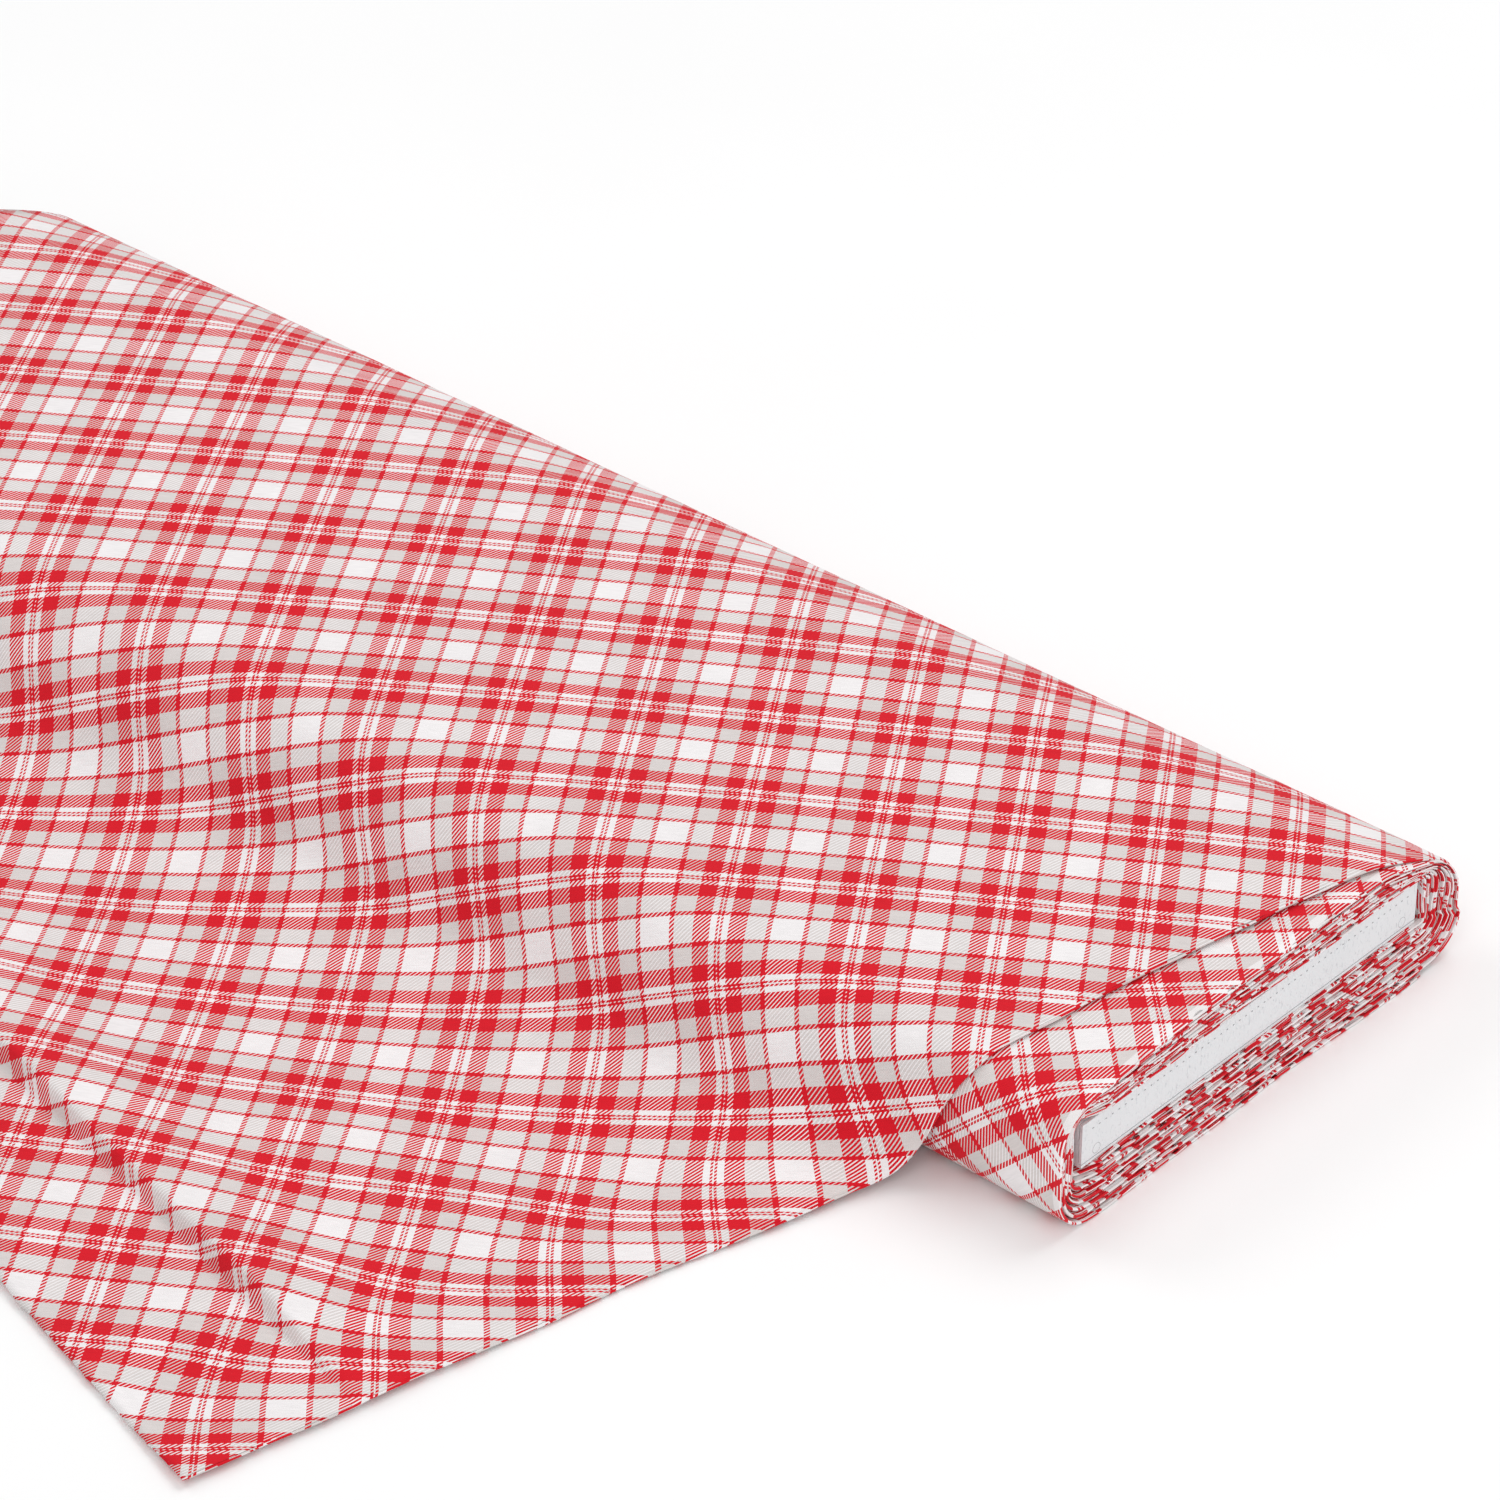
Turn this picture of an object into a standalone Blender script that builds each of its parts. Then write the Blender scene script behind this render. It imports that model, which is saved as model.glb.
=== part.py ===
"""Bolt of dress cloth, in metres, +Z up.

A hollow card board lies flat inside cloth that was folded in half along its length and wound round it.
The last length of cloth comes up over the board's back edge, crosses the top a little askew, drops over
the front edge and lies out on the table.  Each end of the board is shut by a flap with a tuck tongue.

X runs along the board, Y from the front edge to the back edge, and the table is the plane Z = 0.
"""
import math

import bmesh
import bpy

# Board: a folded card tube, its two end closures and its inner ribs.
BOARD_LENGTH = 0.742
BOARD_WIDTH = 0.200
BOARD_THICKNESS = 0.019
CARD = 0.0012
RIB_WIDTH = 0.036
RIB_SPACING = 0.090
RIB_END_RECESS = 0.021
TONGUE_DEPTH = 0.015
CREASE_GAP = 0.0003
TONGUE_LIFT = 0.0005
GLUE_GAP = 0.0003

# Cloth: a double layer, wound over the board in equal turns.
CLOTH_WIDTH = 0.750
CLOTH_THICKNESS = 0.0015
TURN_GAP = 0.0007
TURNS = 8
BOARD_FIT = 0.0003
BACK_SLACK = 0.003
BEND_STEPS = 5

# Free end: the last length of cloth, from the back edge to its cut edge on the table.
FREE_LENGTH = 0.545
FREE_SKEW = math.radians(13.0)
SLOPE = math.radians(53.0)
FOOT_RADIUS = 0.035
JOIN_GAP = 0.0003
CORNER_TRIM = 0.004

TURN_PITCH = CLOTH_THICKNESS + TURN_GAP
LAST_FLAT = 2 * TURNS
BOARD_BOTTOM = BOARD_FIT + TURNS * TURN_PITCH + CLOTH_THICKNESS
BOARD_TOP = BOARD_BOTTOM + BOARD_THICKNESS
BOARD_SIDE = BOARD_WIDTH / 2


def clear_scene():
    for old in list(bpy.data.objects):
        bpy.data.objects.remove(old, do_unlink=True)


def make_material(name, colour, roughness):
    material = bpy.data.materials.new(name)
    material.use_nodes = True
    shader = material.node_tree.nodes["Principled BSDF"]
    shader.inputs["Base Color"].default_value = (*colour, 1.0)
    shader.inputs["Roughness"].default_value = roughness
    shader.inputs["Metallic"].default_value = 0.0
    return material


def add_object(name, bm, material, origin=(0.0, 0.0, 0.0)):
    """A mesh object from world-space geometry, with its own origin at the given point."""
    bmesh.ops.translate(bm, verts=bm.verts, vec=[-value for value in origin])
    bmesh.ops.recalc_face_normals(bm, faces=bm.faces)
    mesh = bpy.data.meshes.new(name)
    bm.to_mesh(mesh)
    bm.free()
    mesh.materials.append(material)
    new = bpy.data.objects.new(name, mesh)
    new.location = origin
    bpy.context.collection.objects.link(new)
    return new


def box_mesh(low, high):
    bm = bmesh.new()
    bmesh.ops.create_cube(bm, size=1.0)
    bmesh.ops.scale(bm, verts=bm.verts, vec=[b - a for a, b in zip(low, high)])
    bmesh.ops.translate(bm, verts=bm.verts, vec=[(a + b) / 2 for a, b in zip(low, high)])
    return bm


def cut_box(target, name, low, high):
    cutter = add_object(name, box_mesh(low, high), target.data.materials[0])
    cutter.hide_render = True
    cutter.display_type = "WIRE"
    cut = target.modifiers.new(name, "BOOLEAN")
    cut.operation = "DIFFERENCE"
    cut.solver = "EXACT"
    cut.object = cutter


# Card board


def board_wrap(material):
    """The card tube.  Its bottom panel runs the whole length; the rest stops short for the end flaps."""
    end = BOARD_LENGTH / 2
    side = BOARD_SIDE
    wrap = add_object("board_wrap", box_mesh((-end, -side, BOARD_BOTTOM), (end, side, BOARD_TOP)), material)
    inner_low = (-2 * end, CARD - side, BOARD_BOTTOM + CARD)
    inner_high = (2 * end, side - CARD, BOARD_TOP - CARD)
    cut_box(wrap, "hollow_cutter", inner_low, inner_high)
    for direction, label in ((1, "right"), (-1, "left")):
        near = direction * (end - CARD - CREASE_GAP)
        far = direction * 2 * end
        low = (min(near, far), -BOARD_WIDTH, BOARD_BOTTOM + CARD)
        high = (max(near, far), BOARD_WIDTH, BOARD_TOP + BOARD_THICKNESS)
        cut_box(wrap, f"{label}_end_cutter", low, high)
    return wrap


def stiffener(name, centre, material):
    """A folded card channel that keeps the top and bottom panels apart, open side down."""
    half_length = BOARD_LENGTH / 2 - RIB_END_RECESS
    low_z = BOARD_BOTTOM + CARD + GLUE_GAP
    high_z = BOARD_TOP - CARD - GLUE_GAP
    left = centre - RIB_WIDTH / 2
    right = centre + RIB_WIDTH / 2
    outline = (
        (left, low_z),
        (left + CARD, low_z),
        (left + CARD, high_z - CARD),
        (right - CARD, high_z - CARD),
        (right - CARD, low_z),
        (right, low_z),
        (right, high_z),
        (left, high_z),
    )
    bm = bmesh.new()
    face = bm.faces.new([bm.verts.new((-half_length, y, z)) for y, z in outline])
    grown = bmesh.ops.extrude_face_region(bm, geom=[face])
    moved = [item for item in grown["geom"] if isinstance(item, bmesh.types.BMVert)]
    bmesh.ops.translate(bm, verts=moved, vec=(2 * half_length, 0, 0))
    return add_object(name, bm, material)


def end_closure(label, direction, material):
    """The flap that shuts one end, hinged on the top panel's edge, and the tongue it tucks in by."""
    end = BOARD_LENGTH / 2
    side = BOARD_SIDE
    inner_face = end - CARD
    tongue_low = BOARD_BOTTOM + CARD + TONGUE_LIFT
    tongue_face = inner_face - CREASE_GAP
    inner_side = side - CARD - GLUE_GAP

    def placed(low, high):
        ends = sorted((direction * low[0], direction * high[0]))
        return box_mesh((ends[0], *low[1:]), (ends[1], *high[1:]))

    flap_box = placed((inner_face, -side, tongue_low), (end, side, BOARD_TOP))
    flap = add_object(f"{label}_end_flap", flap_box, material, (direction * end, 0.0, BOARD_TOP))
    tongue_box = placed(
        (tongue_face - TONGUE_DEPTH, -inner_side, tongue_low),
        (tongue_face, inner_side, tongue_low + CARD),
    )
    hinge = (direction * tongue_face, 0.0, tongue_low + CARD)
    tongue = add_object(f"{label}_tuck_tongue", tongue_box, material, hinge)
    tongue.parent = flap
    tongue.matrix_parent_inverse = flap.matrix_basis.inverted()


# Cloth


def flat_offset(flat):
    """Clearance from the board to one flat run.  Even flats lie under the board and odd ones over it."""
    return BOARD_FIT + flat * TURN_PITCH / 2


def upright_offset(flat):
    """Clearance from the board to the upright that joins one flat run to the next."""
    return (flat_offset(flat) + flat_offset(flat + 1)) / 2


def bend(side, first_flat, offset_out):
    """Points (y, z) round one edge of the board, from the run numbered first_flat to the next one.

    The bend is two quarter ellipses about the board's corners, joined by an upright midway between both runs.
    The cloth stands a little slack off the board's back edge.
    """
    upright = upright_offset(first_flat) + offset_out
    if side > 0:
        upright += BACK_SLACK
    runs = (first_flat, first_flat + 1)
    points = []
    for run, steps in zip(runs, (range(BEND_STEPS + 1), range(BEND_STEPS, -1, -1))):
        under = run % 2 == 0
        rise = flat_offset(run) + offset_out
        corner = BOARD_BOTTOM if under else BOARD_TOP
        for step in steps:
            angle = math.pi / 2 * step / BEND_STEPS
            y = side * (BOARD_SIDE + upright * math.sin(angle))
            z = corner + (-rise if under else rise) * math.cos(angle)
            points.append((y, z))
    return points


def strip_solid(name, inner, outer, spans, material):
    """A strip of cloth swept along a path: at each station a rectangle from inner to outer, span wide in X."""
    bm = bmesh.new()
    rings = []
    for (y_in, z_in), (y_out, z_out), (left, right) in zip(inner, outer, spans):
        corners = ((left, y_in, z_in), (right, y_in, z_in), (right, y_out, z_out), (left, y_out, z_out))
        rings.append([bm.verts.new(corner) for corner in corners])
    for ring, following in zip(rings, rings[1:]):
        for corner in range(4):
            beside = (corner + 1) % 4
            bm.faces.new((ring[corner], ring[beside], following[beside], following[corner]))
    bm.faces.new(rings[0])
    bm.faces.new(rings[-1][::-1])
    return add_object(name, bm, material)


def wound_path(offset_out):
    """The path of the wound cloth from its start under the board to the back of its last bottom run."""
    points = [(-BOARD_SIDE, BOARD_BOTTOM - flat_offset(0) - offset_out)]
    for flat in range(LAST_FLAT):
        side = 1 if flat % 2 == 0 else -1
        points += bend(side, flat, offset_out)
    points.append((BOARD_SIDE, BOARD_BOTTOM - flat_offset(LAST_FLAT) - offset_out))
    return points


def wound_cloth(material):
    inner = wound_path(0.0)
    outer = wound_path(CLOTH_THICKNESS)
    spans = [(-CLOTH_WIDTH / 2, CLOTH_WIDTH / 2)] * len(inner)
    return strip_solid("wound_cloth", inner, outer, spans, material)


def drape_path(offset_out):
    """The rest of the free end's path after the back bend: shoulder, straight slope and foot on the table."""
    rise = flat_offset(LAST_FLAT + 1) + offset_out
    reach = upright_offset(LAST_FLAT + 1) + offset_out
    points = []
    for step in range(BEND_STEPS + 1):
        angle = SLOPE * step / BEND_STEPS
        points.append((-BOARD_SIDE - reach * math.sin(angle), BOARD_TOP + rise * math.cos(angle)))
    shoulder_y, shoulder_z = points[-1]
    foot_radius = FOOT_RADIUS - offset_out
    table_z = offset_out
    foot_rise = foot_radius * (1 - math.cos(SLOPE))
    slope_run = (shoulder_z - table_z - foot_rise) / math.tan(SLOPE)
    foot_y = shoulder_y - slope_run
    for step in range(BEND_STEPS + 1):
        angle = SLOPE * (1 - step / BEND_STEPS)
        y = foot_y - foot_radius * (math.sin(SLOPE) - math.sin(angle))
        points.append((y, table_z + foot_radius * (1 - math.cos(angle))))
    return points


def path_lengths(points):
    lengths = [0.0]
    for first, second in zip(points, points[1:]):
        lengths.append(lengths[-1] + math.dist(first, second))
    return lengths


def free_end(material):
    """The loose length.  It leaves the board's back edge square, then runs askew to its square-cut end."""
    back_inner = bend(1, LAST_FLAT, 0.0)
    back_outer = bend(1, LAST_FLAT, CLOTH_THICKNESS)
    inner = [(y + (JOIN_GAP if step == 0 else 0.0), z) for step, (y, z) in enumerate(back_inner)]
    outer = [(y + (JOIN_GAP if step == 0 else 0.0), z) for step, (y, z) in enumerate(back_outer)]
    wrapped = len(inner)
    inner += drape_path(0.0)
    outer += drape_path(CLOTH_THICKNESS)

    lengths = path_lengths(inner)
    top_start = lengths[wrapped - 1]
    span = CLOTH_WIDTH / math.cos(FREE_SKEW)
    right_end = FREE_LENGTH * math.cos(FREE_SKEW)
    left_end = right_end - CLOTH_WIDTH * math.sin(FREE_SKEW)
    last_y = inner[-1][0] + lengths[-1] - top_start

    spans = [(-CLOTH_WIDTH / 2, CLOTH_WIDTH / 2)] * wrapped
    travelled = [length - top_start for length in lengths[wrapped:]]
    for along in (left_end, right_end):
        inner.append((last_y - along, 0.0))
        outer.append((last_y - along, CLOTH_THICKNESS))
        travelled.append(along)
    for along in travelled:
        right = CLOTH_WIDTH / 2 - along * math.tan(FREE_SKEW)
        left = right - span
        if along == right_end:
            left = right - CORNER_TRIM
        spans.append((left, right))
    return strip_solid("free_end", inner, outer, spans, material)


def build():
    clear_scene()
    white_card = make_material("white_card", (0.86, 0.87, 0.88), 0.6)
    inner_card = make_material("inner_card", (0.62, 0.60, 0.56), 0.75)
    cloth = make_material("plaid_cotton", (0.83, 0.42, 0.43), 0.85)
    board_wrap(white_card)
    for name, direction in (("front_stiffener", -1), ("back_stiffener", 1)):
        stiffener(name, direction * RIB_SPACING / 2, inner_card)
    for label, direction in (("right", 1), ("left", -1)):
        end_closure(label, direction, white_card)
    wound_cloth(cloth)
    free_end(cloth)
    bpy.context.view_layer.update()


build()
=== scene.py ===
import math

import bpy
import numpy as np
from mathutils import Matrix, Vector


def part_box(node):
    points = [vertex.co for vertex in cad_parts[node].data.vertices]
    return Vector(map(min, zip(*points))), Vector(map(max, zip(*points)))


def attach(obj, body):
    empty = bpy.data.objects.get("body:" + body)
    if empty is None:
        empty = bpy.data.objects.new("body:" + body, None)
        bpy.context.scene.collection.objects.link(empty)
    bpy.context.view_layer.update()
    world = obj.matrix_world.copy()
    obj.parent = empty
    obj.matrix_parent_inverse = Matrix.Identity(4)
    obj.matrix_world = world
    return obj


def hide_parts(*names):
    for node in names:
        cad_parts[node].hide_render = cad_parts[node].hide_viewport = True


# A bolt of folded plaid cotton wound on a flat card board, its loose end drawn off across a table.
# Lengths are in metres.  +X runs along the board to its right end, +Y to the back edge and +Z up.

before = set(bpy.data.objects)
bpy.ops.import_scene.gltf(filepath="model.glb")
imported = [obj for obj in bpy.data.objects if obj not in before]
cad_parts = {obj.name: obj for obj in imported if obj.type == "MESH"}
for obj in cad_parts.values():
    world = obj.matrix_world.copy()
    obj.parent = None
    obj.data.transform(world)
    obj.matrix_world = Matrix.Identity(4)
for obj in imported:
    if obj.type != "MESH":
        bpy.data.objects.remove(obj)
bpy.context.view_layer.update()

board_low, board_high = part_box("board_wrap")
flap_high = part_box("right_end_flap")[1]
roll_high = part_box("wound_cloth")[1]

# Board
BOARD_SIDE = board_high.y
BOARD_BOTTOM = board_low.z
BOARD_TOP = board_high.z
BOARD_END = flap_high.x

# Cloth: two plies, folded in half along its length
HALF_CLOTH = roll_high.x
WIDTH = 2 * HALF_CLOTH
DOUBLE_THICKNESS = 0.0015
PLY_THICKNESS = 0.0004
PLY_SPREAD = 0.0005
NOSE_STEPS = 6
TABLE_GAP = 0.0001
LOWEST_PLY = TABLE_GAP + PLY_THICKNESS / 2

# Winding
FIRST_FIT = 0.0003
TURN_PITCH = 0.0022
TURNS = 8
LAST_FLAT = 2 * TURNS
FLAT_STEPS = 42
BEND_STEPS = 9
UPRIGHT_STEPS = 6
BACK_SLACK = 0.003
BACK_SWAY = 0.0006

# Sag behind the board: how deep, how far out and up the outermost turn lies, and where it starts and fades
BACK_SAG = 0.0145
SAG_REACH = 0.0220
SAG_RISE = 0.0197
SAG_START, SAG_FULL = 0.066, 0.128
SAG_FOOT = 0.0175
SAG_MOST = 1.1

# Crown of the top runs, and the dip where they are pressed down at the front
TOP_CROWN = 0.0013
CROWN_MIDDLE = 0.02
CROWN_HALF = 0.125
CROWN_DEPTH = 0.0205
FRONT_DIP = 0.0026
DIP_START, DIP_FULL = 0.045, 0.118

# The wound fold: where the innermost turn's fold lies, and how the outer, front and lower ones differ
FOLD_INNER = 0.3722
FOLD_GROWTH = 0.0044
FRONT_DRAW = 0.0040
FOOT_PUSH = 0.0022
FRONT_EASE = 0.010
FOOT_FULL = 0.09
PRESSED_SHARE = 0.28
PRESSED_FROM = (0.085, 0.105)
END_REACH = 0.05
STREAK_REACH = 0.02
OUTER_STATIONS = (0.0, 0.003, 0.010, 0.022, 0.045)
INNER_STATIONS = (0.40, 0.10, 0.06, 0.035, 0.022, 0.013, 0.007, 0.003)

# The left end of the wound cloth: how far each ply is drawn in, and from what distance off the fold
OUTER_DRAW = 0.0012
INNER_DRAW = 0.0022
DRAW_START = 0.70

# The slack inner turns' waves at the back, near the fold
SLACK_WAVE = 0.0004
SLACK_EASE = 0.004
SLACK_PACE = 420.0
SLACK_SHIFT = 31.0

# Loose end
SKEW = math.radians(13.0)
LOOSE_LENGTH = 0.545
LINE_SPACING = 0.0015
HEM_STEP = 0.0022
UNDER_DRAW = 0.004
UNDER_START = 0.6
SPAN_EASE = (-0.08, 0.02)
LEFT_END_EASE = (0.9, 1.0)
WAVES_EASE = (0.45, 0.62)
WRAP_LOWEST = 0.00075
CLEAR_REACH = 0.0005
CLEAR_RISE = 0.0006
RIGHT_BLEND = (0.262, 0.325)
LEFT_BLEND = (-0.20, 0.06)

# The loose end's mesh: columns even up to a share of the width, then crowding towards the fold; rows behind
# the roll; and the bands of rows after them, each with its start, its end and its number
COLUMN_BREAK = 0.86
EVEN_COLUMNS = 74
FOLD_COLUMNS = 32
FOLD_CROWDING = 0.72
WRAP_ROWS = 26
ROW_BANDS = ((0.0, 0.30, 34), (0.30, 0.62, 66), (0.62, 0.835, 26), (0.835, 0.905, 36), (0.905, 1.0, 14))

# The folded edge's slant: each part of the way, where it starts, how long it is and how far it turns
EDGE_OVERHANG = 0.0009
EDGE_AT_BACK = 0.0030
EDGE_BACK_EASE = (-0.045, 0.015)
EDGE_SLANTS = ((0.0, 0.212, 11.4), (0.212, 0.068, 21.5), (0.280, 0.080, 17.8))
TABLE_START = 0.360

# The ridge on the table, along one row of the cloth, and the faint swell
RIDGE_ROW = 0.871
RIDGE_HEIGHT = 0.0080
RIDGE_BEFORE = 0.055
RIDGE_AFTER = 0.0045
RIDGE_LEFT = (-0.12, -0.02)
RIDGE_RIGHT = (0.18, 0.27)
RIDGE_UNEVEN = 0.10
RIDGE_PACE = 37.0
SWELL_HEIGHT = 0.0016
SWELL_FROM = (0.20, 0.26)

# Plaid
REPEAT = 0.0512
THREADS = 108
BIAS_STRETCH = 0.032
BIAS_LEAN = 0.020
BIAS_END = (0.19, 0.27)
LEVEL_WITH = 0.050
INK_SPREAD = (0.42, 0.22)
# Width of the band along the fold where pale threads are whitened: painted light on the fold's nose
FOLD_PAINTED_LIGHT_BAND = 0.0022
LOOSE_CROSSING = (0.1221, 0.1051)
WOUND_CROSSING = (0.3555, 0.0504)
NO_FOLD = 9.0

PRINT_RED = (0.70, 0.008, 0.020)
CLOTH_WHITE = (0.90, 0.87, 0.875)
CLOTH_GREY = (0.715, 0.665, 0.650)
FULL = (1.0, 1.0, 1.0)

# End flaps: the perforated crease and the punched circles
PERFORATIONS = 52
PERFORATION_INSET = 0.006
PERFORATION_DROP = 0.0042
PERFORATION_HALF = (0.00055, 0.00024)
PERFORATION_STAND = 0.00006
PUNCH_INSET = 0.0085
PUNCH_DROP = 0.0145
PUNCH_RADIUS = 0.0021
PUNCH_WIRE = 0.00013

# What wanders: its seed, how far it goes either way, and its pace along each coordinate
FOLD_SWAY = (3, 0.0006, (5.0,))
FOLD_WAVER = (4, 0.0003, (18.0,))
LEFT_SWAY = (5, 0.0012, (6.0,))
SELVEDGE_SWAY = (6, 0.0016, (4.0,))
RIPPLE = (7, 0.00018, (9.0, 7.0))
FLUTTER = (8, 0.00006, (34.0, 9.0))
PUFF = (9, 0.22, (12.0,))
PRINT_DRIFT = (10, 0.0015, (2.0,))
STREAK = (11, 0.0007, (14.0,))
CUT_WAVER = (21, 0.0004, (60.0,))
LEFT_END_SWAY = (22, 0.0006, (9.0,))
PLY_PUFF = (23, 0.25, (14.0, 14.0))
SWELL_SEED = 31


# ---------------------------------------------------------------- noise


def soft_noise(seed, *coordinates, octaves=3):
    """Smooth seeded noise in about -1..1: a sum of sines of turned and shifted coordinates, each octave finer
    and weaker than the one before."""
    rng = np.random.default_rng(seed)
    total = 0.0
    weight = 0.0
    for octave in range(octaves):
        for _ in range(4):
            turn = rng.normal(size=len(coordinates)) * 1.7**octave
            phase = rng.uniform(0.0, 2.0 * np.pi)
            wave = sum(c * k for c, k in zip(coordinates, turn)) * 2.0 * np.pi + phase
            total = total + np.sin(wave) * 0.6**octave
            weight += 0.6**octave
    return total / weight * 2.0


def wander(kind, *coordinates):
    """Soft noise of one kind: its size times the noise of the coordinates, each at its own pace."""
    seed, size, paces = kind
    return size * soft_noise(seed, *(c * pace for c, pace in zip(coordinates, paces)))


def ease(value, start, end):
    """A smooth step: 0 before start, 1 after end, and 3t^2 - 2t^3 between them."""
    t = np.clip((value - start) / (end - start), 0.0, 1.0)
    return t * t * (3.0 - 2.0 * t)


# ---------------------------------------------------------------- meshes


def put_in_scene(name, mesh, material):
    """An object of the mesh and its one material, at the origin."""
    mesh.materials.append(material)
    piece = bpy.data.objects.new(name, mesh)
    bpy.context.scene.collection.objects.link(piece)
    return piece


def surface(name, points, laid, material):
    """A mesh of quads over a grid of points, with each point's place on the flat cloth as the UV map."""
    rows, columns = points.shape[:2]
    index = np.arange(rows * columns).reshape(rows, columns)
    corners = (index[:-1, :-1], index[:-1, 1:], index[1:, 1:], index[1:, :-1])
    quads = np.stack(corners, axis=-1).reshape(-1, 4)
    mesh = bpy.data.meshes.new(name)
    mesh.vertices.add(rows * columns)
    mesh.vertices.foreach_set("co", points.reshape(-1))
    mesh.loops.add(quads.size)
    mesh.loops.foreach_set("vertex_index", quads.reshape(-1))
    mesh.polygons.add(len(quads))
    mesh.polygons.foreach_set("loop_start", np.arange(0, quads.size, 4))
    mesh.polygons.foreach_set("use_smooth", np.ones(len(quads), dtype=bool))
    layer = mesh.uv_layers.new(name="laid")
    layer.data.foreach_set("uv", laid.reshape(-1, 2)[quads.reshape(-1)].reshape(-1))
    mesh.update()
    mesh.validate()
    return put_in_scene(name, mesh, material)


def give_thickness(piece):
    """Turns the ply's middle surface into a wall, half of it to each side."""
    wall = piece.modifiers.new("ply", "SOLIDIFY")
    wall.thickness = PLY_THICKNESS
    wall.offset = 0.0


# ---------------------------------------------------------------- materials


class Desk:
    """Short calls for laying out a material's nodes."""

    def __init__(self, name):
        self.material = bpy.data.materials.new(name)
        self.material.use_nodes = True
        self.tree = self.material.node_tree
        self.shader = self.tree.nodes["Principled BSDF"]

    def node(self, kind, **settings):
        made = self.tree.nodes.new(kind)
        for key, value in settings.items():
            setattr(made, key, value)
        return made

    def plug(self, source, socket):
        """A number is set on the socket, a colour is set with full alpha and anything else is linked."""
        if isinstance(source, (int, float)):
            socket.default_value = source
        elif isinstance(source, tuple):
            socket.default_value = (*source, 1.0)
        else:
            self.tree.links.new(source, socket)

    def finish(self, **values):
        """Sets or links the shader's own sockets, named with underscores for spaces."""
        for key, source in values.items():
            self.plug(source, self.shader.inputs[key.replace("_", " ")])
        return self.material

    def place(self):
        return self.node("ShaderNodeTexCoord").outputs["Object"]

    def maths(self, operation, first, second=0.0):
        made = self.node("ShaderNodeMath", operation=operation)
        self.plug(first, made.inputs[0])
        self.plug(second, made.inputs[1])
        return made.outputs[0]

    def blend(self, share, first, second, kind="MIX"):
        made = self.node("ShaderNodeMix", data_type="RGBA", blend_type=kind)
        for source, socket in zip((share, first, second), (0, 6, 7)):
            self.plug(source, made.inputs[socket])
        return made.outputs[2]

    def ramp(self, position, stops, interpolation="LINEAR"):
        made = self.node("ShaderNodeValToRGB")
        made.color_ramp.interpolation = interpolation
        elements = made.color_ramp.elements
        while len(elements) < len(stops):
            elements.new(0.5)
        for element, (position_on_ramp, colour) in zip(elements, stops):
            element.position = position_on_ramp
            element.color = (*colour, 1.0)
        self.plug(position, made.inputs[0])
        return made.outputs[0]

    def noise(self, place, scale, detail=2.0, distortion=0.0, dimensions="3D"):
        made = self.node("ShaderNodeTexNoise", noise_dimensions=dimensions)
        self.plug(place, made.inputs["Vector"])
        self.plug(scale, made.inputs["Scale"])
        self.plug(detail, made.inputs["Detail"])
        self.plug(distortion, made.inputs["Distortion"])
        return made.outputs[0]

    def clouded(self, cloud, deep, pale):
        """From the deep colour to the pale one over the middle of a noise's range."""
        return self.ramp(cloud, ((0.3, deep), (0.7, pale)))

    def bump(self, height, strength, distance):
        made = self.node("ShaderNodeBump")
        self.plug(strength, made.inputs["Strength"])
        self.plug(distance, made.inputs["Distance"])
        self.plug(height, made.inputs["Height"])
        self.plug(made.outputs[0], self.shader.inputs["Normal"])


def shade(colour, share):
    return tuple(channel * share for channel in colour)


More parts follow.
